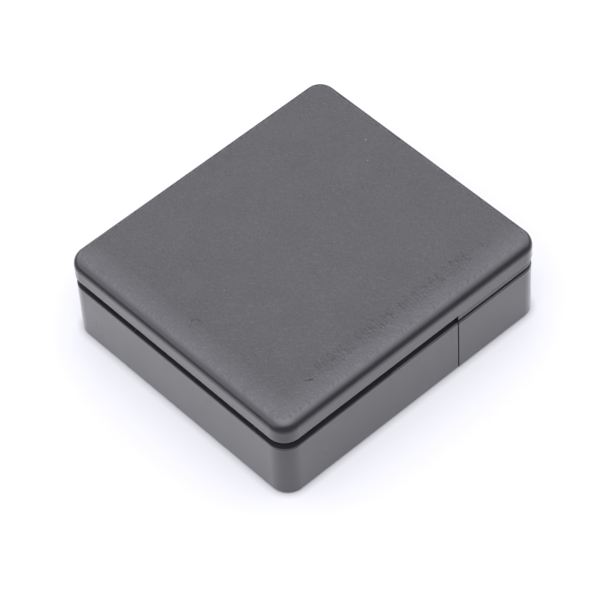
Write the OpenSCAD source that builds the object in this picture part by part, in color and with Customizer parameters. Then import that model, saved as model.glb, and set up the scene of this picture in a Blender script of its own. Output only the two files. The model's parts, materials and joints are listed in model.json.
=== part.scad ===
// Battery-powered watch demagnetizer in a flat two-shell case with a sliding battery cover.
// Frame: millimetres, +Z up, origin at the middle of the underside. The raised row of marks runs
// along the front edge (-Y); the battery cover slides off towards -X; the button is on +X.

/* [Case] */
// Width of the case along the front edge
body_w = 80; // [80:0.5:84]
// Depth of the case from front to back
body_d = 72.7; // [72.5:0.1:76]
// Overall height
body_h = 24.8; // [24.6:0.1:26]
// Radius of the four upright corners of the top shell
corner_r = 4.5; // [4.2:0.1:5]
// Radius of the upright corners of the base and of the battery cover
base_corner_r = 4.7; // [4.4:0.1:5]
// Radius of the rounded top edge
top_edge_r = 3.1; // [2:0.1:3.4]
// Radius of the small bottom edge
bottom_edge_r = 0.7; // [0.3:0.1:1]
// Radius that softens the edges along the joints
joint_edge_r = 0.35; // [0.1:0.05:0.4]
// Wall thickness of the outer shells
wall = 2; // [1.8:0.1:2]

/* [Parting lines] */
// Height of the rim of the battery cover
rim_z = 16.05; // [15.9:0.05:16.2]
// Height of the lower edge of the top shell's skirt
skirt_z = 18.5; // [18.4:0.1:18.9]
// Width of the thin joint between base and top shell
joint_gap = 0.95; // [0.8:0.05:1.2]
// X of the upright seam between battery cover and base
seam_x = 13.75; // [13.5:0.05:14]
// Width of the upright seam
seam_gap = 0.3; // [0.2:0.05:0.4]

/* [Coil] */
// Outer diameter of the winding
winding_d = 55; // [48:1:55]
// Inner diameter of the winding
winding_bore_d = 19; // [16:1:22]

/* [Cells] */
// Diameter of one cell
cell_d = 10.5; // [10.3:0.1:10.5]
// Length of one cell with its nub
cell_len = 44.5; // [44:0.1:44.5]

/* [Hidden] */
$fn = 48;
eps = 0.01;
half_w = body_w / 2;
half_d = body_d / 2;

// Shells
top_t = 2;
ceiling_z = body_h - top_t;
floor_t = 2;
base_inset = 0.1;
cover_inset = 0.15;
base_rim_z = rim_z - 0.2;
cover_floor_t = 1.8;
lip_z = base_rim_z + joint_gap;
lip_recess = 0.3;
tongue_inset = base_inset + wall;
tongue_t = 1.5;
tongue_top_z = ceiling_z - 1.1;
tongue_root_z = base_rim_z - 2;
base_x = seam_x + seam_gap / 2;
cover_x = seam_x - seam_gap / 2;

// Inner tray of the base, inside the battery cover
tray_inset = 2.55;
tray_wall = 1.5;
tray_z = 2.1;
tray_x = half_w - tray_inset;
tray_y = half_d - tray_inset;
channel_floor_z = tray_z + tray_wall;
deck_z = 13.2;
deck_top_z = 14.4;
passage_y = tray_y - tray_wall;

// Rails that carry the battery cover
rail_z = 8;
rail_h = 1.2;
rail_reach = 0.9;
rail_x0 = -33;
rail_x1 = 11;
groove_clear = 0.2;

// Battery bay and its four cells, which lie along Y side by side
cell_pitch = 11;
cell_r = cell_d / 2;
bay_x1 = 9.6;
bay_w = 4 * cell_pitch + 0.5;
bay_x0 = bay_x1 - bay_w;
bay_y = 24.6;
cell_z = deck_z - cell_r - 0.15;
cell_nub_len = 0.8;
plate_t = 0.4;
nub_bump = 0.3;
nub_y = bay_y - plate_t - nub_bump;
cell_tail_y = nub_y - cell_len;
tab_z = 10;
tab_end_y = 26.9;

// Coil stack above the deck
shield_t = 1;
former_z = deck_top_z + shield_t;
flange_t = 1.2;
winding_z = former_z + flange_t;
winding_h = 4.6;
former_top_t = 1;
coil_top_z = winding_z + winding_h + former_top_t;
pole_r = 4.9;
coil_post_x = 24;
coil_post_y = 30;
coil_post_r = 2;
lead_slot_x = 28;
lead_slot_y = 8;

// Circuit board in the fixed end of the base
board_x0 = 12.6;
board_x1 = 35.8;
board_y = 25.4;
board_z = 4.4;
board_t = 1.6;
board_top_z = board_z + board_t;
board_screw_x = [17.6, 33.2];
board_screw_y = 22.4;

// Button and lamp on the +X wall
button_z = 8.6;
button_r = 4.05;
button_clear = 0.15;
dish_r = 6.5;
dish_depth = 0.8;
button_flange_r = 5;
button_flange_x = 36.8;
button_flange_t = 1;
switch_x1 = 35.7;
lamp_y = 11;
lamp_r = 1.5;

// Case screws, whose heads sit in counterbores in the base
case_screw_x = [-32.3, 33.2];
case_screw_y = 29.3;
boss_r = 3;
post_r = 2.7;
boss_top_z = 12;
screw_seat_z = 4.5;

// A block with rounded upright corners, and with its top and bottom edges rounded.
// It stands on z, centred on the Z axis.
module rounded_block(w, d, h, corner, top_r = 0, bottom_r = 0, z = 0) {
    module edge_profile() {
        difference() {
            square([corner, h]);
            if (top_r > 0)
                translate([corner - top_r, h - top_r]) difference() {
                    square(top_r + 1);
                    circle(top_r);
                }
            if (bottom_r > 0)
                translate([corner - bottom_r, bottom_r]) mirror([0, 1]) difference() {
                    square(bottom_r + 1);
                    circle(bottom_r);
                }
        }
    }
    // One straight edge of the block, running along +Y from the origin, outside on +X.
    module edge_bar(length) {
        rotate([90, 0, 0]) translate([0, 0, -length]) linear_extrude(length) edge_profile();
    }
    core_w = w - 2 * corner;
    core_d = d - 2 * corner;
    translate([0, 0, z]) union() {
        translate([-core_w / 2, -core_d / 2, 0]) cube([core_w, core_d, h]);
        for (turn = [0:3]) {
            along_x = turn % 2 == 1;
            reach = along_x ? core_d : core_w;
            length = along_x ? core_w : core_d;
            rotate([0, 0, 90 * turn]) {
                translate([reach / 2, -length / 2, 0]) edge_bar(length);
                translate([reach / 2, length / 2, 0])
                    rotate_extrude(angle = 90) edge_profile();
            }
        }
    }
}

// The case outline pulled in by an inset, as a plain block between two heights.
module inset_block(inset, z0, z1) {
    rounded_block(body_w - 2 * inset, body_d - 2 * inset, z1 - z0, corner_r - inset, z = z0);
}

// Everything on the +X side, or on the -X side, of a plane.
module beyond(x) {
    translate([x, -body_d, -body_h]) cube([2 * body_w, 2 * body_d, 3 * body_h]);
}

module short_of(x) {
    translate([x - 2 * body_w, -body_d, -body_h]) cube([2 * body_w, 2 * body_d, 3 * body_h]);
}

// Its children at the front and mirrored at the back.
module front_and_back() {
    children();
    mirror([0, 1, 0]) children();
}

module rod(r, z0, z1) {
    translate([0, 0, z0]) cylinder(r = r, h = z1 - z0);
}

module box(x0, x1, y0, y1, z0, z1) {
    translate([x0, y0, z0]) cube([x1 - x0, y1 - y0, z1 - z0]);
}

// A round bar along X between two planes.
module x_rod(r, x0, x1, y, z) {
    translate([x0, y, z]) rotate([0, 90, 0]) cylinder(r = r, h = x1 - x0);
}

// A round bar along Y between two planes.
module y_rod(r, y0, y1, x, z) {
    translate([x, y1, z]) rotate([90, 0, 0]) cylinder(r = r, h = y1 - y0);
}

module at_case_screws() {
    for (x = case_screw_x, y = [-case_screw_y, case_screw_y]) translate([x, y, 0]) children();
}

module at_board_screws() {
    for (x = board_screw_x, y = [-board_screw_y, board_screw_y]) translate([x, y, 0]) children();
}

module at_coil_posts() {
    for (x = [-coil_post_x, coil_post_x], y = [-coil_post_y, coil_post_y])
        translate([x, y, 0]) children();
}

// A tube swept along a list of points, closed at both ends.
function unit(v) = v / norm(v);
function tangent(p, i) = unit(p[min(i + 1, len(p) - 1)] - p[max(i - 1, 0)]);
function side(t, up) = unit(cross(up, t));
module sweep(points, r, sides, up = [0, 0, 1]) {
    last = len(points) - 1;
    rings = [
        for (i = [0:last], k = [0:sides - 1])
            let (t = tangent(points, i), u = side(t, up), v = cross(t, u), a = 360 * k / sides)
                points[i] + r * (cos(a) * u + sin(a) * v)
    ];
    quads = [
        for (i = [0:last - 1], k = [0:sides - 1], half = [0, 1])
            let (a = i * sides + k, b = i * sides + (k + 1) % sides)
                half == 0 ? [a, a + sides, b] : [b, a + sides, b + sides]
    ];
    start_cap = [[for (k = [0:sides - 1]) k]];
    end_cap = [[for (k = [sides - 1:-1:0]) last * sides + k]];
    polyhedron(points = rings, faces = concat(quads, start_cap, end_cap));
}

// A smooth curve through a few points, for leads.
function spline(a, b, c, d, t) =
    0.5 * (2 * b + (c - a) * t + (2 * a - 5 * b + 4 * c - d) * t * t
        + (3 * b - a - 3 * c + d) * t * t * t);
function curve(p, steps) = [
    for (i = [0:len(p) - 2], s = [0:steps - 1])
        spline(p[max(i - 1, 0)], p[i], p[i + 1], p[min(i + 2, len(p) - 1)], s / steps),
    p[len(p) - 1]
];

// ---- Marks on the top face: a raised row between two arrowheads, and one sunk arrowhead ----

mark_rise = 0.17;
arrow_rise = 0.1;
sunk_depth = 0.14;
mark_row_y = -29.05;
mark_h = 3.8;
mark_w = 0.8;
mark_pitch = 1.9;
group_start_x = [-21.8, -9.6, 3.7, 18];
group_count = [6, 6, 7, 4];
arrow_len = 2.6;
left_tip_x = -27.2;
right_tip_x = 31.2;
open_arrow_x = -34.6;
open_arrow_len = 3.2;
open_arrow_w = 3.8;

// The cap of a ball that meets the top face in a circle of radius reach, rising by depth.
module low_dome(reach, depth) {
    ball_r = (pow(reach, 2) + pow(depth, 2)) / (2 * depth);
    translate([0, 0, depth - ball_r]) sphere(ball_r);
}

// An arrowhead whose tip is at the origin and points to -X, domed up or dished down by depth.
module arrowhead(length, width, depth) {
    intersection() {
        translate([0, 0, -2 * depth]) linear_extrude(4 * depth)
            polygon([[0, 0], [length, -width / 2], [length, width / 2]]);
        translate([0.6 * length, 0, 0]) low_dome(0.6 * length, depth);
    }
}

// One low domed bar, the cap of a round rod lying along Y.
module domed_bar(x) {
    dome_r = (pow(mark_w / 2, 2) + pow(mark_rise, 2)) / (2 * mark_rise);
    reach = (mark_h - mark_w) / 2;
    translate([x, mark_row_y, body_h + mark_rise - dome_r]) {
        y_rod(dome_r, -reach, reach, 0, 0);
        for (y = [-reach, reach]) translate([0, y, 0]) sphere(dome_r);
    }
}

module raised_marks() {
    for (g = [0:3], i = [0:group_count[g] - 1]) domed_bar(group_start_x[g] + i * mark_pitch);
    translate([left_tip_x, mark_row_y, body_h]) arrowhead(arrow_len, arrow_len, arrow_rise);
    translate([right_tip_x, mark_row_y, body_h]) mirror([1, 0, 0])
        arrowhead(arrow_len, arrow_len, arrow_rise);
}

module sunk_arrow() {
    translate([open_arrow_x, 0, body_h]) mirror([0, 0, 1])
        arrowhead(open_arrow_len, open_arrow_w, sunk_depth);
}

// ---- Shells ----

pilot_r = 1;
pilot_top_z = 20.5;
stop_lip_x = [-36.4, -32.7];
stop_lip_h = 0.8;
seam_notch_w = 0.8;
seam_notch_h = 0.35;

// Skirt, roof, the lip over the base, two short stop lips over the cover and four screw posts.
module top_shell() color([0.17, 0.17, 0.18]) {
    difference() {
        union() {
            rounded_block(body_w, body_d, body_h - skirt_z, corner_r, top_r = top_edge_r,
                bottom_r = joint_edge_r, z = skirt_z);
            raised_marks();
            intersection() {
                inset_block(lip_recess, lip_z, skirt_z + 2 * joint_edge_r);
                beyond(base_x);
            }
            front_and_back()
                box(stop_lip_x[0] + 1, stop_lip_x[1], half_d - wall, half_d - 2 * lip_recess,
                    skirt_z - stop_lip_h, skirt_z + 2 * joint_edge_r);
        }
        inset_block(wall, lip_z - 1, ceiling_z);
        front_and_back()
            box(base_x - seam_notch_w, base_x, half_d - wall, half_d + 1,
                skirt_z - 1, skirt_z + seam_notch_h);
        sunk_arrow();
    }
    at_case_screws() difference() {
        rod(post_r, boss_top_z, ceiling_z + eps);
        rod(pilot_r, boss_top_z - 1, pilot_top_z);
    }
}

counterbore_r = 2.3;
screw_clear_r = 1.25;
coil_pilot_r = 0.85;
coil_pilot_depth = 6;
board_post_r = 2.3;
board_pilot_r = 0.85;
saddle_t = 1.2;
saddle_h = 4;
saddle_clear = 0.15;
tab_slot_w = 2.6;
tab_slot_h = 0.8;
lens_bore_r = 1.6;

// The fixed end of the case: floor, outer walls, and the web that closes them at the seam.
module base_end() {
    difference() {
        intersection() {
            rounded_block(body_w - 2 * base_inset, body_d - 2 * base_inset, base_rim_z,
                base_corner_r - base_inset, top_r = joint_edge_r, bottom_r = bottom_edge_r);
            beyond(base_x);
        }
        intersection() {
            inset_block(tongue_inset, floor_t, rim_z + 1);
            beyond(base_x + tray_wall);
        }
        box(0, base_x + 2 * tray_wall, -passage_y, passage_y, channel_floor_z, body_h);
    }
}

// The raised tongue that the top shell fits over at the fixed end.
module base_tongue() {
    difference() {
        intersection() {
            inset_block(tongue_inset, tongue_root_z, tongue_top_z);
            beyond(base_x);
        }
        inset_block(tongue_inset + tongue_t, tongue_root_z - 1, body_h);
        box(0, base_x + tray_wall, -passage_y, passage_y, channel_floor_z, body_h);
    }
}

// The tray inside the battery cover: side channels open upwards, battery bay open downwards.
module base_tray() {
    difference() {
        intersection() {
            inset_block(tray_inset, tray_z, tongue_top_z);
            short_of(base_x + eps);
        }
        intersection() {
            inset_block(tray_inset + tray_wall, deck_top_z, body_h);
            short_of(base_x + 1);
        }
        box(bay_x1 + tray_wall, base_x + 1, -passage_y, passage_y, channel_floor_z, body_h);
        front_and_back()
            box(tray_wall - tray_x, base_x + 1, bay_y + tray_wall, passage_y,
                channel_floor_z, body_h);
        box(bay_x0, bay_x1, -bay_y, bay_y, tray_z - 1, deck_z);
        for (x = [cell_x(1), cell_x(4)])
            box(x - tab_slot_w / 2, x + tab_slot_w / 2, bay_y - 1, bay_y + tray_wall + 1,
                tab_z - tab_slot_h / 2, tab_z + tab_slot_h / 2);
    }
    front_and_back() box(rail_x0, rail_x1, tray_y - eps, tray_y + rail_reach, rail_z,
        rail_z + rail_h);
    for (y = [-bay_y / 2, bay_y / 2]) difference() {
        box(bay_x0 - eps, bay_x1 + eps, y - saddle_t / 2, y + saddle_t / 2, deck_z - saddle_h,
            deck_z + eps);
        for (i = [1:4]) y_rod(cell_r + saddle_clear, -bay_y, bay_y, cell_x(i), cell_z);
    }
}

module base_shell() color([0.14, 0.14, 0.15]) difference() {
    union() {
        base_end();
        base_tongue();
        base_tray();
        for (y = [-case_screw_y, case_screw_y]) {
            translate([case_screw_x[0], y, 0]) rod(boss_r, tray_z, boss_top_z);
            translate([case_screw_x[1], y, 0]) rod(boss_r, floor_t / 2, boss_top_z);
        }
        at_board_screws() rod(board_post_r, floor_t / 2, board_z);
        for (y = [-coil_post_y, coil_post_y]) {
            translate([-coil_post_x, y, 0]) rod(coil_post_r, tray_z + 1, former_z);
            translate([coil_post_x, y, 0]) rod(coil_post_r, floor_t / 2, former_z);
        }
    }
    at_case_screws() {
        rod(screw_clear_r, -1, boss_top_z + 1);
        rod(counterbore_r, -1, screw_seat_z);
    }
    at_coil_posts() rod(coil_pilot_r, former_z - coil_pilot_depth, former_z + 1);
    at_board_screws() rod(board_pilot_r, floor_t / 2, board_z + 1);
    x_rod(button_r + button_clear, half_w - wall - 1, half_w + 1, 0, button_z);
    x_rod(dish_r, half_w - base_inset - dish_depth, half_w + 1, 0, button_z);
    x_rod(lens_bore_r, half_w - wall - 1, half_w + 1, lamp_y, button_z);
}

grip_x = -24;
grip_w = 16;
grip_d = 20;
grip_depth = 0.6;
grip_ribs = 5;
grip_rib_w = 1.2;
low_rim_x = -7.1;
low_rim_drop = 0.06;

// A tray that wraps the underside, the -X wall and both side walls up to the seam.
module battery_cover() color([0.14, 0.14, 0.15]) {
    difference() {
        intersection() {
            rounded_block(body_w - 2 * cover_inset, body_d - 2 * cover_inset, rim_z,
                base_corner_r - cover_inset, top_r = joint_edge_r, bottom_r = bottom_edge_r);
            short_of(cover_x);
        }
        intersection() {
            inset_block(cover_inset + wall, cover_floor_t, rim_z + 1);
            short_of(cover_x + 1);
        }
        front_and_back()
            box(rail_x0 - 2 * groove_clear, cover_x + 1, tray_y,
                tray_y + rail_reach + groove_clear, rail_z - groove_clear,
                rail_z + rail_h + groove_clear);
        box(-body_w, low_rim_x, -body_d, body_d, rim_z - low_rim_drop, body_h);
        rounded_grip_cut();
    }
    // Ribs that the thumb pushes on, flush with the underside.
    for (i = [1:grip_ribs]) {
        x = grip_x - grip_w / 2 + i * grip_w / (grip_ribs + 1);
        box(x - grip_rib_w / 2, x + grip_rib_w / 2, -grip_d / 2 + 1, grip_d / 2 - 1, 0,
            grip_depth + eps);
    }
}

module rounded_grip_cut() {
    translate([grip_x, 0, -1]) rounded_block(grip_w, grip_d, grip_depth + 1, 2);
}

// ---- Button, switch and lamp ----

module push_button() color([0.55, 0.08, 0.07]) {
    x_rod(button_flange_r, button_flange_x, button_flange_x + button_flange_t, 0, button_z);
    x_rod(button_r, button_flange_x + button_flange_t - eps, half_w, 0, button_z);
}

plunger_r = 1.2;
plunger_x0 = 34.8;
switch_half_w = 3;
switch_x0 = 32.2;
switch_h = 5;

module switch_plunger() color([0.85, 0.85, 0.83])
    x_rod(plunger_r, plunger_x0, button_flange_x, 0, button_z);

module switch_housing() color([0.1, 0.1, 0.1]) difference() {
    box(switch_x0, switch_x1, -switch_half_w, switch_half_w, board_top_z, board_top_z + switch_h);
    x_rod(plunger_r + 0.1, plunger_x0 - 0.8, switch_x1 + 1, 0, button_z);
}

module indicator_lens() color([0.8, 0.9, 0.8, 0.5]) {
    x_rod(lens_bore_r - 0.05, half_w - tongue_inset - 0.1, half_w - base_inset, lamp_y, button_z);
    x_rod(lens_bore_r + 0.7, half_w - tongue_inset - 0.6, half_w - tongue_inset, lamp_y, button_z);
}

lamp_x0 = 31.2;
lamp_x1 = 35.4;
lamp_leg_r = 0.28;
lamp_leg_x = 29.8;

module indicator_lamp() color([0.6, 0.9, 0.6]) {
    x_rod(lamp_r, lamp_x0, lamp_x1, lamp_y, button_z);
    x_rod(lamp_r + 0.4, lamp_x0 - 0.8, lamp_x0, lamp_y, button_z);
    translate([lamp_x1, lamp_y, button_z]) intersection() {
        sphere(r = lamp_r);
        rotate([0, 90, 0]) cylinder(r = lamp_r + 1, h = lamp_r + 1);
    }
    for (y = [-0.9, 0.9]) {
        x_rod(lamp_leg_r, lamp_leg_x, lamp_x0 - 0.7, lamp_y + y, button_z);
        translate([lamp_leg_x, lamp_y + y, 0]) rod(lamp_leg_r, board_top_z, button_z);
    }
}

// ---- Circuit board ----

module circuit_board() color([0.05, 0.3, 0.14]) difference() {
    box(board_x0, board_x1, -board_y, board_y, board_z, board_top_z);
    at_board_screws() rod(1.1, 0, body_h);
}

chip_pos = [23.2, -0.4];
chip_size = [5, 4, 1.5];

module control_chip() color([0.08, 0.08, 0.08]) {
    box(chip_pos[0], chip_pos[0] + chip_size[0], chip_pos[1], chip_pos[1] + chip_size[1],
        board_top_z + 0.15, board_top_z + chip_size[2]);
    for (i = [0:3], side = [-1, 1])
        translate([chip_pos[0] + 0.6 + 1.27 * i, chip_pos[1] + chip_size[1] / 2
            + side * (chip_size[1] / 2 + 0.3), board_top_z + 0.3])
            cube([0.4, 0.7, 0.6], center = true);
}

// Chip resistors in two rows and two diodes.
module small_components() color([0.15, 0.14, 0.13]) {
    for (i = [0:5]) box(29.6, 30.6, -2.8 + 1.9 * i, -1.6 + 1.9 * i, board_top_z, board_top_z + 0.6);
    for (i = [0:4]) box(13.6 + 1.7 * i, 14.5 + 1.7 * i, 1, 2.4, board_top_z, board_top_z + 0.6);
    for (x = [23.4, 27.2]) box(x, x + 2.6, -23.6, -20.6, board_top_z, board_top_z + 1.1);
}

transistor_pos = [22.4, 17.4];

module power_transistor() color([0.1, 0.1, 0.1]) {
    x = transistor_pos[0];
    y = transistor_pos[1];
    box(x, x + 6.5, y, y + 5.4, board_top_z + 0.1, board_top_z + 2.3);
    box(x + 0.6, x + 5.9, y + 5.3, y + 6.8, board_top_z, board_top_z + 0.5);
    for (leg = [1.6, 4.2]) box(x + leg, x + leg + 0.7, y - 1.4, y + 0.1, board_top_z,
        board_top_z + 0.6);
}

module pulse_capacitor() color([0.75, 0.6, 0.15])
    translate([18.2, -11, 0]) rounded_block(7.5, 18, 7.5, 0.6, top_r = 0.5, z = board_top_z);

reservoir_x = [17.6, 25];
reservoir_r = 3.4;
reservoir_y0 = 6.4;
reservoir_y1 = 15.8;

// Two electrolytic capacitors lying on the board, each with its two bent legs.
module reservoir_capacitors() color([0.12, 0.13, 0.3])
    for (x = reservoir_x) {
        z = board_top_z + reservoir_r + 0.05;
        difference() {
            y_rod(reservoir_r, reservoir_y0, reservoir_y1, x, z);
            translate([x, reservoir_y0 + 1.4, z]) rotate([90, 0, 0]) rotate_extrude()
                translate([reservoir_r, 0]) circle(0.35);
        }
        for (side = [-1.25, 1.25]) {
            y_rod(0.3, reservoir_y0 - 0.9, reservoir_y0 + 0.1, x + side, z);
            translate([x + side, reservoir_y0 - 0.9, 0]) rod(0.3, board_top_z, z);
        }
    }

transformer_pos = [29, -13.2];
core_size = [10.4, 10.8, 3.8];
core_leg = 1.8;
core_z = board_top_z + 1.9;
window_w = 2.8;
centre_leg_w = 2.8;
bobbin_wall = 0.35;
bobbin_len = 6.5;
bobbin_z1 = 7.2;
leg_clear = 0.02;
transformer_coil_w = 7.6;

// Closed ferrite frame with a centre leg along X.
module transformer_core() color([0.2, 0.2, 0.21])
    translate([transformer_pos[0], transformer_pos[1], core_z]) difference() {
        translate([-core_size[0] / 2, -core_size[1] / 2, 0]) cube(core_size);
        for (side = [-1, 1]) translate([0, side * (centre_leg_w + window_w) / 2, 0])
            cube([core_size[0] - 2 * core_leg, window_w, 3 * core_size[2]], center = true);
    }

// The hole through the bobbin for the core's centre leg, grown on every side.
module centre_leg_hole(grow, length) {
    translate([transformer_pos[0], transformer_pos[1], core_z + core_size[2] / 2])
        cube([length, centre_leg_w + 2 * grow, core_size[2] + 2 * grow], center = true);
}

module transformer_bobbin() color([0.12, 0.12, 0.12]) difference() {
    union() {
        centre_leg_hole(leg_clear + bobbin_wall, bobbin_len);
        for (side = [-1, 1])
            translate([transformer_pos[0] + side * (bobbin_len - 0.7) / 2, transformer_pos[1],
                board_top_z + bobbin_z1 / 2])
                cube([0.7, centre_leg_w + 2 * window_w - 0.4, bobbin_z1], center = true);
    }
    centre_leg_hole(leg_clear, 2 * bobbin_len);
}

module transformer_winding() color([0.7, 0.35, 0.15]) difference() {
    translate([transformer_pos[0], transformer_pos[1], core_z + core_size[2] / 2])
        cube([bobbin_len - 1.5, transformer_coil_w, 6.4], center = true);
    centre_leg_hole(leg_clear + bobbin_wall + 0.01, 2 * bobbin_len);
}

// ---- Coil ----

module shield_plate() color([0.5, 0.5, 0.52])
    rod(winding_d / 2 - 0.5, deck_top_z, former_z);

module coil_former() color([0.85, 0.83, 0.76]) difference() {
    union() {
        rounded_block(58, 64, flange_t, 4, z = former_z);
        rod(winding_bore_d / 2, former_z, coil_top_z);
        rod(winding_d / 2 + 0.5, coil_top_z - former_top_t, coil_top_z);
    }
    rod(pole_r + 0.05, 0, body_h);
    at_coil_posts() rod(1.1, 0, body_h);
    front_and_back() box(lead_slot_x - 1, lead_slot_x + 3, lead_slot_y - 1.5, lead_slot_y + 1.5,
        former_z - 1, former_z + flange_t + eps);
}

module coil_winding() color([0.72, 0.35, 0.15]) difference() {
    rod(winding_d / 2, winding_z, winding_z + winding_h);
    rod(winding_bore_d / 2, winding_z - 1, winding_z + winding_h + 1);
}

module pole_piece() color([0.35, 0.35, 0.37]) rod(pole_r, former_z, coil_top_z);

// Leads start square on what they leave and land square on the board's top.
lead_r = 0.45;
battery_lead_r = 0.5;
coil_exit_angle = 16;
coil_exit = [winding_d / 2 * cos(coil_exit_angle), winding_d / 2 * sin(coil_exit_angle), 18.6];
coil_route = [[27, 7.74, 18.6], [28.3, 8, 17.6], [29, 8, 15.8], [30, 7.6, 13], [31.6, 6.9, 10],
    [32.2, 6.6, 8], [32.2, 6.6, 6.6]];
positive_start = [cell_x(1), tab_end_y, tab_z];
positive_route = [[-29.15, 27.4, 10], [-28.2, 28.3, 9.5], [-25, 27.6, 8.6], [-20, 27.1, 8],
    [-10, 27.1, 8], [2, 27.1, 8], [9, 27.1, 8], [12.2, 26.9, 8.1], [13.9, 24.6, 8],
    [14, 21.6, 7.5], [14, 20.6, 6.6]];
negative_start = [cell_x(4), tab_end_y, tab_z];
negative_route = [[3.85, 27.4, 10], [5.6, 28.2, 10.3], [9.4, 27.9, 10.8], [12.6, 25.4, 10.8],
    [13.8, 21.4, 10.2], [13.9, 18.4, 8.8], [13.9, 17.4, 6.6]];
function last(p) = p[len(p) - 1];
function foot(p) = [last(p)[0], last(p)[1], board_top_z];
function wire(start, route) = concat([start], curve(route, 3), [foot(route)]);

module coil_leads() color([0.7, 0.33, 0.13]) front_and_back()
    sweep(wire(coil_exit, coil_route), lead_r, 8, up = [0.2, 1, 0.1]);

module positive_lead() color([0.7, 0.06, 0.05])
    sweep(wire(positive_start, positive_route), battery_lead_r, 8, up = [0.2, 0.9, 0.3]);

module negative_lead() color([0.05, 0.05, 0.05])
    sweep(wire(negative_start, negative_route), battery_lead_r, 8, up = [0.2, 0.9, 0.3]);

// ---- Cells and contacts ----

function cell_x(i) = bay_x0 + 0.25 + (i - 0.5) * cell_pitch;
function nub_side(i) = i % 2 == 1 ? 1 : -1;

// One cell along +Y, nub end at the given side.
module cell(i) {
    body_end = nub_y - cell_nub_len;
    mirror([0, nub_side(i) > 0 ? 0 : 1, 0]) translate([cell_x(i), 0, cell_z])
        rotate([-90, 0, 0]) rotate_extrude() polygon([
            [0, cell_tail_y], [3.6, cell_tail_y], [cell_r - 0.5, cell_tail_y + 0.1],
            [cell_r, cell_tail_y + 0.6], [cell_r, body_end - 0.6], [cell_r - 0.5, body_end - 0.1],
            [1.9, body_end], [1.9, nub_y - 0.15], [1.75, nub_y], [0, nub_y]
        ]);
}

module cell_1() color([0.2, 0.3, 0.45]) cell(1);
module cell_2() color([0.2, 0.3, 0.45]) cell(2);
module cell_3() color([0.2, 0.3, 0.45]) cell(3);
module cell_4() color([0.2, 0.3, 0.45]) cell(4);

spring_wire_r = 0.3;
spring_turns = 3;
spring_base_r = 3.3;
spring_tip_r = 2;
spring_steps = 16;

// One tapered spring from its contact plate to the flat end of its cell.
module cell_spring(i) {
    plate_y = -(bay_y - plate_t) + spring_wire_r;
    tip_y = cell_tail_y - spring_wire_r;
    count = spring_turns * spring_steps;
    mirror([0, nub_side(i) > 0 ? 0 : 1, 0]) translate([cell_x(i), 0, cell_z])
        sweep([
            for (k = [0:count])
                let (a = 360 * k / spring_steps, s = k / count,
                    r = spring_base_r + (spring_tip_r - spring_base_r) * s)
                    [r * cos(a), plate_y + (tip_y - plate_y) * s, r * sin(a)]
        ], spring_wire_r, 6, up = [0, 1, 0]);
}

module cell_springs() color([0.75, 0.75, 0.77]) for (i = [1:4]) cell_spring(i);

plate_z0 = 3.4;
plate_z1 = 12.2;

// A contact plate on the bay's end wall on the given side, spanning two X values.
module contact_plate(x0, x1, side) {
    mirror([0, side > 0 ? 0 : 1, 0]) box(x0, x1, bay_y - plate_t, bay_y, plate_z0, plate_z1);
}

module nub_pad(i) {
    mirror([0, nub_side(i) > 0 ? 0 : 1, 0])
        y_rod(1.6, nub_y, bay_y - plate_t + eps, cell_x(i), cell_z);
}

// The three plates that join the cells in series.
module link_plates() color([0.75, 0.75, 0.77]) {
    for (i = [1:3]) {
        contact_plate(cell_x(i) - 4, cell_x(i + 1) + 4, -nub_side(i));
        nub_pad(i + 1);
    }
}

// A terminal plate with the tab that its lead is soldered to.
module terminal(i) {
    contact_plate(cell_x(i) - 4, cell_x(i) + 4, 1);
    box(cell_x(i) - 0.8, cell_x(i) + 0.8, bay_y - plate_t, tab_end_y, tab_z - plate_t / 2,
        tab_z + plate_t / 2);
}

module positive_terminal() color([0.75, 0.75, 0.77]) {
    terminal(1);
    nub_pad(1);
}

module negative_terminal() color([0.75, 0.75, 0.77]) terminal(4);

// ---- Screws ----

// A pan-head screw with a cross recess, head down, seat at z = 0, shank up.
module screw(head_r, head_h, shank_r, length) {
    difference() {
        rod(head_r, -head_h, 0);
        for (turn = [0, 90]) rotate([0, 0, turn])
            translate([0, 0, -head_h]) cube([1.3 * head_r, 0.35 * head_r, head_h], center = true);
    }
    rod(shank_r, -eps, length - 0.8);
    translate([0, 0, length - 0.8]) cylinder(r1 = shank_r, r2 = 0.4 * shank_r, h = 0.8);
}

module case_screws() color([0.65, 0.65, 0.66])
    at_case_screws() translate([0, 0, screw_seat_z]) screw(2.1, 1.6, 0.97, 15);

module board_screws() color([0.65, 0.65, 0.66])
    at_board_screws() translate([0, 0, board_top_z]) mirror([0, 0, 1]) screw(1.7, 1.1, 0.82, 4.6);

module coil_screws() color([0.65, 0.65, 0.66])
    at_coil_posts() translate([0, 0, former_z + flange_t]) mirror([0, 0, 1])
        screw(1.6, 1.1, 0.82, 6);

top_shell();
base_shell();
battery_cover();
push_button();
switch_plunger();
switch_housing();
indicator_lens();
indicator_lamp();
circuit_board();
control_chip();
small_components();
power_transistor();
pulse_capacitor();
reservoir_capacitors();
transformer_core();
transformer_bobbin();
transformer_winding();
shield_plate();
coil_former();
coil_winding();
pole_piece();
coil_leads();
cell_1();
cell_2();
cell_3();
cell_4();
cell_springs();
link_plates();
positive_terminal();
negative_terminal();
positive_lead();
negative_lead();
case_screws();
board_screws();
coil_screws();
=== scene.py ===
"""Looks for the watch demagnetizer: camera, studio and materials for the pieces that CAD leaves plain."""

import json
import math

import bpy
from mathutils import Matrix, Vector


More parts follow.
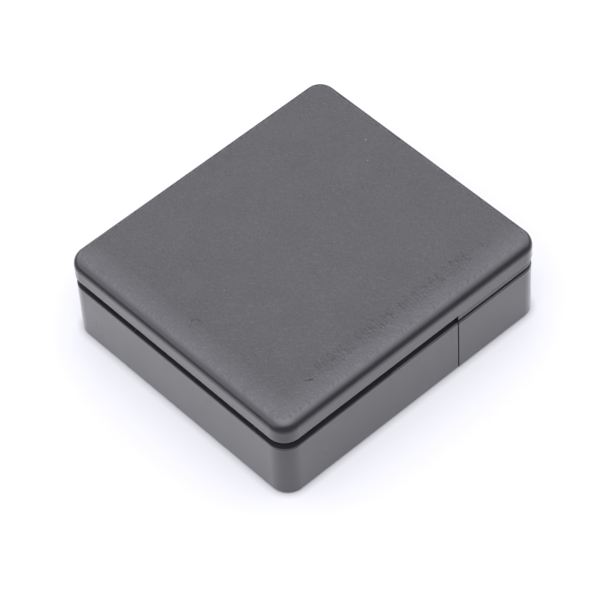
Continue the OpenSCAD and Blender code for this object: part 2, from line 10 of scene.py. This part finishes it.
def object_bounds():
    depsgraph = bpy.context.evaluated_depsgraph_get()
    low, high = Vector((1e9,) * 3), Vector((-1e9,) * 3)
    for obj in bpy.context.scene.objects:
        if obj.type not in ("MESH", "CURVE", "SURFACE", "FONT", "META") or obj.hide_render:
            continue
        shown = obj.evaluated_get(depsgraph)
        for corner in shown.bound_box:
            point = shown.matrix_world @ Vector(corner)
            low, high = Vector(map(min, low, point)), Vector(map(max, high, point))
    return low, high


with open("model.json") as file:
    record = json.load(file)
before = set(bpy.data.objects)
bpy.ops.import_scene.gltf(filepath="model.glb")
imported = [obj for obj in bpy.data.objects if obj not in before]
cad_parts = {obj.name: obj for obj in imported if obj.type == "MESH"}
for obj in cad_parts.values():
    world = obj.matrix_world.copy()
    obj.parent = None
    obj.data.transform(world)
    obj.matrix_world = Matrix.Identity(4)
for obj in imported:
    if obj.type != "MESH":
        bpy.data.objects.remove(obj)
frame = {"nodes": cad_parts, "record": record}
cad_low, cad_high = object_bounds()
nodes = frame["nodes"]
scene = bpy.context.scene


# ---- Camera ----

CAMERA_AZIMUTH = math.radians(-40.38)
CAMERA_ELEVATION = math.radians(49.73)
CAMERA_ROLL = math.radians(-3.63)
CAMERA_DISTANCE = 0.7852
CAMERA_SIDE = -0.00153
CAMERA_RISE = 0.00347
SENSOR_WIDTH = 36.0
LENS = 202.94


def add_camera():
    """The camera looks at the middle of the underside, slid a little in its own plane."""
    azimuth, elevation = CAMERA_AZIMUTH, CAMERA_ELEVATION
    back = Vector((
        math.sin(azimuth) * math.cos(elevation),
        -math.cos(azimuth) * math.cos(elevation),
        math.sin(elevation),
    ))
    level_right = (-back).cross(Vector((0, 0, 1))).normalized()
    level_up = level_right.cross(-back)
    cosine, sine = math.cos(CAMERA_ROLL), math.sin(CAMERA_ROLL)
    right = level_right * cosine + level_up * sine
    up = level_up * cosine - level_right * sine
    camera = bpy.data.objects.new("camera", bpy.data.cameras.new("camera"))
    scene.collection.objects.link(camera)
    axes = Matrix((right, up, back)).transposed()
    camera.matrix_world = Matrix.Translation(
        back * CAMERA_DISTANCE + right * CAMERA_SIDE + up * CAMERA_RISE
    ) @ axes.to_4x4()
    camera.data.sensor_width = SENSOR_WIDTH
    camera.data.lens = LENS
    camera.data.clip_start = 0.05
    camera.data.clip_end = 20
    scene.camera = camera


# ---- Studio ----

STUDIO_TINT = (0.96, 0.96, 1.03)
# Axis, soft edge (cosines of the angle from the axis) and the levels outside and inside that edge, first
# of the light tent as a whole and then of its brighter roof, which multiplies it.
TENT_AXIS_AZIMUTH = math.radians(-25)
TENT_AXIS_ELEVATION = math.radians(60)
TENT_EDGE = (-0.26, 0.17)
TENT_LEVELS = (0.035, 2.0)
ROOF_AXIS = (-0.2, -0.2, 0.96)
ROOF_EDGE = (0.55, 0.96)
ROOF_LEVELS = (1.0, 2.0)
FLOOR_RADIUS = 2.2
FLOOR_DROP = 0.00005
# The card's albedo and glow, each first as the camera sees it and then as the case sees it.
FLOOR_ALBEDO = (0.263, 0.79)
FLOOR_GLOW = (0.432, 0.1)
# Distance from the middle where the card starts to dim and where it is dimmest, and both levels.
FLOOR_FADE = (0.048, 0.115, 1.0, 0.12)
# How far from the case, in metres, the card darkens where it meets it.
CONTACT_REACH = 0.0018


def add_floor(corners=96):
    """A pale round tabletop just under the case."""
    mesh = bpy.data.meshes.new("floor")
    turns = [2 * math.pi * i / corners for i in range(corners)]
    ring = [(FLOOR_RADIUS * math.cos(turn), FLOOR_RADIUS * math.sin(turn), -FLOOR_DROP) for turn in turns]
    mesh.from_pydata(ring, [], [list(range(corners))])
    floor = bpy.data.objects.new("floor", mesh)
    scene.collection.objects.link(floor)
    mesh.materials.append(floor_material())


def floor_material():
    """White card. The case sees it bright beside itself and dim far off; the camera sees it even, but for
    a soft shadow where the case stands on it."""
    material = bpy.data.materials.new("pale_tabletop")
    material.use_nodes = True
    tree = material.node_tree
    tree.nodes.clear()
    coords = tree.nodes.new("ShaderNodeTexCoord")
    reach = tree.nodes.new("ShaderNodeVectorMath")
    reach.operation = "LENGTH"
    tree.links.new(coords.outputs["Object"], reach.inputs[0])
    fade = tree.nodes.new("ShaderNodeMapRange")
    fade.interpolation_type = "SMOOTHSTEP"
    for key, number in zip(("From Min", "From Max", "To Min", "To Max"), FLOOR_FADE):
        fade.inputs[key].default_value = number
    tree.links.new(reach.outputs["Value"], fade.inputs["Value"])
    path = tree.nodes.new("ShaderNodeLightPath")
    parts = []
    for seen, unseen in (FLOOR_ALBEDO, FLOOR_GLOW):
        faded = tree.nodes.new("ShaderNodeMath")
        faded.operation = "MULTIPLY"
        faded.inputs[1].default_value = unseen
        tree.links.new(fade.outputs["Result"], faded.inputs[0])
        choice = tree.nodes.new("ShaderNodeMix")
        choice.inputs["B"].default_value = seen
        tree.links.new(path.outputs["Is Camera Ray"], choice.inputs["Factor"])
        tree.links.new(faded.outputs[0], choice.inputs["A"])
        parts.append(choice.outputs["Result"])
    contact = tree.nodes.new("ShaderNodeAmbientOcclusion")
    contact.inputs["Distance"].default_value = CONTACT_REACH
    shaded = tree.nodes.new("ShaderNodeMath")
    shaded.operation = "MULTIPLY"
    tree.links.new(parts[1], shaded.inputs[0])
    tree.links.new(contact.outputs["AO"], shaded.inputs[1])
    card = tree.nodes.new("ShaderNodeBsdfDiffuse")
    tree.links.new(parts[0], card.inputs["Color"])
    glow = tree.nodes.new("ShaderNodeEmission")
    glow.inputs["Color"].default_value = (*STUDIO_TINT, 1)
    tree.links.new(shaded.outputs[0], glow.inputs["Strength"])
    both = tree.nodes.new("ShaderNodeAddShader")
    output = tree.nodes.new("ShaderNodeOutputMaterial")
    tree.links.new(card.outputs[0], both.inputs[0])
    tree.links.new(glow.outputs[0], both.inputs[1])
    tree.links.new(both.outputs[0], output.inputs["Surface"])
    return material


def add_world():
    """A light tent: brightest overhead, dim at its open front, and plain white to the camera."""
    world = bpy.data.worlds.new("light_tent")
    scene.world = world
    world.use_nodes = True
    tree = world.node_tree
    tree.nodes.clear()
    azimuth, tilt = TENT_AXIS_AZIMUTH, TENT_AXIS_ELEVATION
    axis = (-math.sin(azimuth) * math.cos(tilt), math.cos(azimuth) * math.cos(tilt), math.sin(tilt))
    coords = tree.nodes.new("ShaderNodeTexCoord")
    levels = []
    for direction, edge, ends in ((axis, TENT_EDGE, TENT_LEVELS), (ROOF_AXIS, ROOF_EDGE, ROOF_LEVELS)):
        along = tree.nodes.new("ShaderNodeVectorMath")
        along.operation = "DOT_PRODUCT"
        along.inputs[1].default_value = direction
        tree.links.new(coords.outputs["Generated"], along.inputs[0])
        level = tree.nodes.new("ShaderNodeMapRange")
        level.interpolation_type = "SMOOTHSTEP"
        for key, number in zip(("From Min", "From Max", "To Min", "To Max"), (*edge, *ends)):
            level.inputs[key].default_value = number
        tree.links.new(along.outputs["Value"], level.inputs["Value"])
        levels.append(level.outputs["Result"])
    strength = tree.nodes.new("ShaderNodeMath")
    strength.operation = "MULTIPLY"
    tree.links.new(levels[0], strength.inputs[0])
    tree.links.new(levels[1], strength.inputs[1])
    tent = tree.nodes.new("ShaderNodeBackground")
    tent.inputs["Color"].default_value = (*STUDIO_TINT, 1)
    tree.links.new(strength.outputs[0], tent.inputs["Strength"])
    backdrop = tree.nodes.new("ShaderNodeBackground")
    backdrop.inputs["Color"].default_value = (1, 1, 1, 1)
    path = tree.nodes.new("ShaderNodeLightPath")
    mix = tree.nodes.new("ShaderNodeMixShader")
    output = tree.nodes.new("ShaderNodeOutputWorld")
    tree.links.new(path.outputs["Is Camera Ray"], mix.inputs["Fac"])
    tree.links.new(tent.outputs[0], mix.inputs[1])
    tree.links.new(backdrop.outputs[0], mix.inputs[2])
    tree.links.new(mix.outputs[0], output.inputs["Surface"])


scene.view_settings.view_transform = "Standard"
add_camera()
add_floor()
add_world()


# ---- Materials ----

class Graph:
    """One material's nodes, with a short call for each kind used here."""

    def __init__(self, name):
        self.material = bpy.data.materials.new(name)
        self.material.use_nodes = True
        self.tree = self.material.node_tree
        self.shader = self.tree.nodes["Principled BSDF"]
        self.coords = self.tree.nodes.new("ShaderNodeTexCoord")

    def link(self, source, target):
        self.tree.links.new(source, target)

    def node(self, kind, **values):
        made = self.tree.nodes.new("ShaderNode" + kind)
        for key, value in values.items():
            setattr(made, key, value)
        return made

    def math(self, operation, a, b=None, c=None):
        """One step of arithmetic on numbers or sockets."""
        made = self.node("Math", operation=operation)
        for i, value in enumerate((a, b, c)):
            if value is None:
                continue
            if isinstance(value, (int, float)):
                made.inputs[i].default_value = value
            else:
                self.link(value, made.inputs[i])
        return made.outputs[0]

    def place(self, scale):
        """Object coordinates stretched by scale along each axis."""
        made = self.node("Mapping")
        made.inputs["Scale"].default_value = scale
        self.link(self.coords.outputs["Object"], made.inputs["Vector"])
        return made.outputs[0]

    def noise(self, size, detail=2.0, rough=0.5, vector=None):
        """Noise from 0 to 1 whose features are about size metres across."""
        made = self.node("TexNoise")
        made.inputs["Scale"].default_value = 1 / size
        made.inputs["Detail"].default_value = detail
        made.inputs["Roughness"].default_value = rough
        self.link(vector or self.coords.outputs["Object"], made.inputs["Vector"])
        return made.outputs["Fac"]

    def cells(self, size, feature="F1"):
        """Distance to the nearest point of a scatter whose points are about size metres apart."""
        made = self.node("TexVoronoi", feature=feature)
        made.inputs["Scale"].default_value = 1 / size
        if feature == "SMOOTH_F1":
            made.inputs["Smoothness"].default_value = 0.5
        self.link(self.coords.outputs["Object"], made.inputs["Vector"])
        return made.outputs["Distance"]

    def ramp(self, value, low, high, to_low=0.0, to_high=1.0, smooth=False):
        """The value carried from the range low to high onto to_low to to_high, and held at both ends."""
        made = self.node("MapRange", clamp=True)
        made.interpolation_type = "SMOOTHSTEP" if smooth else "LINEAR"
        for key, number in zip(("From Min", "From Max", "To Min", "To Max"), (low, high, to_low, to_high)):
            made.inputs[key].default_value = number
        self.link(value, made.inputs["Value"])
        return made.outputs["Result"]

    def blend(self, factor, a, b):
        """A colour between a and b."""
        made = self.node("Mix", data_type="RGBA")
        self.link(factor, made.inputs["Factor"])
        for socket, colour in zip(made.inputs[6:8], (a, b)):
            if isinstance(colour, tuple):
                socket.default_value = (*colour, 1)
            else:
                self.link(colour, socket)
        return made.outputs[2]

    def bump(self, height, depth):
        """A bump whose height of 1 stands depth metres proud."""
        made = self.node("Bump")
        made.inputs["Strength"].default_value = 1
        made.inputs["Distance"].default_value = depth
        self.link(height, made.inputs["Height"])
        return made.outputs["Normal"]

    def axis(self, which):
        """One of the object-space coordinates, in metres."""
        made = self.node("SeparateXYZ")
        self.link(self.coords.outputs["Object"], made.inputs[0])
        return made.outputs[which]

    def facing(self, which):
        """One component of the object-space normal."""
        made = self.node("SeparateXYZ")
        self.link(self.coords.outputs["Normal"], made.inputs[0])
        return made.outputs[which]

    def finish(self, colour, roughness, normal=None, metallic=None):
        """Joins what was built to the shader and returns the material."""
        names = ("Base Color", "Roughness", "Normal", "Metallic")
        for name, value in zip(names, (colour, roughness, normal, metallic)):
            if value is None:
                continue
            if isinstance(value, (int, float)):
                self.shader.inputs[name].default_value = value
            else:
                self.link(value, self.shader.inputs[name])
        return self.material


PLASTIC_BLACK = (0.0165, 0.0165, 0.0178)
PLASTIC_GREYER = (0.0205, 0.0205, 0.022)
# Colour of the painted highlight along the top face's front and left edges.
PLASTIC_HIGHLIGHT = (0.044, 0.044, 0.047)
DUST = (0.2, 0.2, 0.2)
GRAIN_DEPTH = 0.00031
# The top face is painted paler along its front and left edges: a painted highlight where the rounded edge
# catches the overhead light. It is full up to the smaller distance below in from the edge, and it has
# faded out at the larger one.
HIGHLIGHT_REACH = 0.008
HIGHLIGHT_FULL = 0.001
# Just under the lower edge of the top shell's skirt: the lip below it is dull.
LIP_TOP = 0.0184


def textured_plastic():
    """Black plastic: leather grain on the flat top, paler near its front and left edges by a painted
    highlight, satin on the rounded edge and skirt, dull on the lip."""
    g = Graph("textured_black_plastic")
    flat = g.ramp(g.facing(2), 0.84, 0.998, smooth=True)
    wander = g.noise(0.0018, detail=2)
    pebbles = g.cells(0.0008, "SMOOTH_F1")
    fine = g.noise(0.0004, detail=1)
    height = g.math("MULTIPLY_ADD", wander, 1.2, g.math("MULTIPLY_ADD", fine, 0.3, -0.3))
    height = g.math("MULTIPLY_ADD", pebbles, -0.9, height)
    grain = g.bump(g.math("MULTIPLY", height, flat), GRAIN_DEPTH)
    blotches = g.noise(0.012, detail=3, rough=0.55)
    colour = g.blend(g.ramp(blotches, 0.35, 0.75), PLASTIC_BLACK, PLASTIC_GREYER)
    # Painted highlight: paler near the front and left edges of the top and its rounded edge, broken up by
    # noise.
    beyond_highlight = []
    for which in (0, 1):
        edge = cad_low[which]
        beyond_highlight.append(g.ramp(g.axis(which), edge + HIGHLIGHT_FULL, edge + HIGHLIGHT_REACH))
    wear_and_highlight = g.math("SUBTRACT", 1, g.math("MULTIPLY", *beyond_highlight))
    wear_and_highlight = g.math("MULTIPLY", wear_and_highlight, g.ramp(g.facing(2), 0.68, 0.84))
    wear_and_highlight = g.math("MULTIPLY", wear_and_highlight, g.ramp(g.noise(0.004, detail=3), 0.3, 0.7, 0.7, 1))
    colour = g.blend(wear_and_highlight, colour, PLASTIC_HIGHLIGHT)
    dust = g.math("MULTIPLY", g.ramp(g.cells(0.006), 0.018, 0.028, 1, 0), flat)
    colour = g.blend(dust, colour, DUST)
    satin = g.ramp(g.noise(0.008, detail=4, rough=0.6), 0.3, 0.7, 0.19, 0.24)
    matte = g.ramp(g.noise(0.0012, detail=2), 0.3, 0.7, 0.36, 0.46)
    lip = g.ramp(g.axis(2), LIP_TOP - 0.00005, LIP_TOP + 0.00005, 1, 0)
    dull = g.math("MAXIMUM", flat, lip)
    roughness = g.math("MULTIPLY_ADD", g.math("SUBTRACT", matte, satin), dull, satin)
    return g.finish(colour, roughness, grain)


def satin_plastic():
    """Smooth satin black plastic with a faint moulding ripple."""
    g = Graph("satin_black_plastic")
    blotches = g.noise(0.010, detail=3, rough=0.55)
    colour = g.blend(g.ramp(blotches, 0.35, 0.75), PLASTIC_BLACK, PLASTIC_GREYER)
    normal = g.bump(g.noise(0.007, detail=1), 0.00003)
    roughness = g.ramp(g.noise(0.006, detail=3, rough=0.6), 0.3, 0.7, 0.22, 0.28)
    return g.finish(colour, roughness, normal)


def plain_plastic(name, colour, roughness=0.4, grain=0.00035, depth=0.00001):
    """A moulded plastic with a fine skin and a little variation in colour and gloss."""
    g = Graph(name)
    darker = tuple(0.82 * c for c in colour)
    tint = g.blend(g.ramp(g.noise(0.004, detail=3), 0.3, 0.7), darker, colour)
    normal = g.bump(g.noise(grain, detail=2), depth)
    gloss = g.ramp(g.noise(0.003, detail=3), 0.3, 0.7, roughness - 0.05, roughness + 0.07)
    return g.finish(tint, gloss, normal)


def metal(name, colour, roughness=0.3, brush=(1, 1, 1), brush_size=0.0004):
    """A metal with a brushed or rolled surface."""
    g = Graph(name)
    streaks = g.noise(brush_size, detail=4, rough=0.6, vector=g.place(brush))
    darker = tuple(0.75 * c for c in colour)
    tint = g.blend(g.ramp(streaks, 0.3, 0.7), darker, colour)
    normal = g.bump(streaks, 0.000004)
    gloss = g.ramp(streaks, 0.3, 0.7, roughness - 0.07, roughness + 0.1)
    return g.finish(tint, gloss, normal, metallic=1.0)


def cell_jacket(nub_side):
    """Foil sleeve of a cell along Y: a plain copper-coloured band at the nub end and bare metal ends."""
    g = Graph("cell_jacket_back" if nub_side > 0 else "cell_jacket_front")
    along = g.math("MULTIPLY", g.axis(1), nub_side)
    band = g.ramp(along, 0.0098, 0.00985)
    line = g.math("SUBTRACT", g.ramp(along, 0.0091, 0.00915), band)
    bare = g.ramp(g.math("ABSOLUTE", g.facing(1)), 0.55, 0.65)
    wear_and_highlight = g.ramp(g.noise(0.0022, detail=4, rough=0.7), 0.56, 0.72, 0, 0.35)
    colour = g.blend(band, (0.022, 0.026, 0.034), (0.56, 0.27, 0.09))
    colour = g.blend(line, colour, (0.55, 0.55, 0.55))
    colour = g.blend(wear_and_highlight, colour, (0.3, 0.28, 0.26))
    colour = g.blend(bare, colour, (0.66, 0.65, 0.62))
    roughness = g.ramp(g.noise(0.003, detail=3), 0.3, 0.7, 0.2, 0.32)
    return g.finish(colour, roughness, metallic=g.math("MAXIMUM", bare, g.math("MULTIPLY", band, 0.7)))


def winding(name, centre, wire=0.0004):
    """Enamelled copper wire wound round a vertical axis: turns up the side, rings on the ends."""
    g = Graph(name)
    offset = g.node("VectorMath", operation="SUBTRACT")
    offset.inputs[1].default_value = (*centre, 0)
    g.link(g.coords.outputs["Object"], offset.inputs[0])
    flat = g.node("VectorMath", operation="MULTIPLY")
    flat.inputs[1].default_value = (1, 1, 0)
    g.link(offset.outputs[0], flat.inputs[0])
    radius = g.node("VectorMath", operation="LENGTH")
    g.link(flat.outputs[0], radius.inputs[0])
    on_end = g.ramp(g.math("ABSOLUTE", g.facing(2)), 0.5, 0.6)
    across = g.math("SUBTRACT", radius.outputs["Value"], g.axis(2))
    along = g.math("MULTIPLY_ADD", across, on_end, g.axis(2))
    turns = g.math("ABSOLUTE", g.math("SINE", g.math("MULTIPLY", along, math.pi / wire)))
    wander = g.noise(0.002, detail=3)
    # Darker in the grooves between the turns: painted shade, varied by a random tone.
    shade = g.math("MULTIPLY", turns, g.ramp(wander, 0.3, 0.7, 0.7, 1))
    colour = g.blend(g.ramp(shade, 0.15, 0.8), (0.16, 0.04, 0.012), (0.7, 0.25, 0.085))
    return g.finish(colour, 0.28, g.bump(turns, 0.00009), metallic=0.85)


def circuit_laminate():
    """Green solder mask over faint straight traces, with bare laminate on the cut edges."""
    g = Graph("green_board")
    stripes = []
    for which, pitch in ((0, 0.0017), (1, 0.0019)):
        wave = g.math("SINE", g.math("MULTIPLY", g.axis(which), math.pi / pitch))
        stripes.append(g.ramp(g.math("ABSOLUTE", wave), 0.62, 0.7))
    choice = g.ramp(g.noise(0.009, detail=0), 0.49, 0.51)
    traces = g.math("MULTIPLY_ADD", g.math("SUBTRACT", stripes[1], stripes[0]), choice, stripes[0])
    planes = g.ramp(g.noise(0.012, detail=0), 0.55, 0.56)
    traces = g.math("MAXIMUM", traces, planes)
    cut = g.ramp(g.math("ABSOLUTE", g.facing(2)), 0.4, 0.5, 1, 0)
    colour = g.blend(traces, (0.008, 0.085, 0.03), (0.02, 0.17, 0.06))
    colour = g.blend(cut, colour, (0.36, 0.37, 0.2))
    return g.finish(colour, 0.3, g.bump(traces, 0.00004))


def can_sleeve():
    """Printed sleeve of a capacitor with bare aluminium ends."""
    g = Graph("capacitor_sleeve")
    bare = g.ramp(g.math("ABSOLUTE", g.facing(1)), 0.96, 0.98)
    colour = g.blend(bare, (0.018, 0.024, 0.08), (0.75, 0.75, 0.76))
    return g.finish(colour, g.ramp(g.noise(0.002, detail=2), 0.3, 0.7, 0.22, 0.32), metallic=bare)


finishes = {
    "black_textured_plastic": textured_plastic(),
    "black_satin_plastic": satin_plastic(),
    "red_button_plastic": plain_plastic("red_button", (0.28, 0.012, 0.009), 0.32),
    "white_nylon": plain_plastic("white_nylon", (0.4, 0.385, 0.33), 0.5),
    "clear_lens": plain_plastic("clear_lens", (0.2, 0.42, 0.24), 0.12),
    "green_board": circuit_laminate(),
    "black_component": plain_plastic("black_component", (0.02, 0.02, 0.02), 0.5),
    "yellow_film": plain_plastic("yellow_film", (0.62, 0.38, 0.04), 0.35),
    "capacitor_sleeve": can_sleeve(),
    "ferrite": plain_plastic("ferrite", (0.05, 0.05, 0.055), 0.6, grain=0.0006, depth=0.00003),
    "copper_wire": winding("copper_wire", (0, 0)),
    "steel_plate": metal("steel_plate", (0.5, 0.5, 0.52), 0.35, (1, 0.05, 1)),
    "cell_jacket": cell_jacket(1),
    "nickel_contact": metal("nickel_contact", (0.7, 0.68, 0.63), 0.25),
    "red_wire": plain_plastic("red_wire", (0.42, 0.012, 0.01), 0.4),
    "black_wire": plain_plastic("black_wire", (0.015, 0.015, 0.015), 0.4),
    "zinc_screw": metal("zinc_screw", (0.62, 0.62, 0.64), 0.3),
}
for part in frame["record"]["subparts"]:
    piece = nodes[part["node"]]
    piece.data.materials.clear()
    piece.data.materials.append(finishes[part["material_slot"]])
turned_cells = cell_jacket(-1)
for name in ("cell_2", "cell_4"):
    nodes[name].data.materials[0] = turned_cells
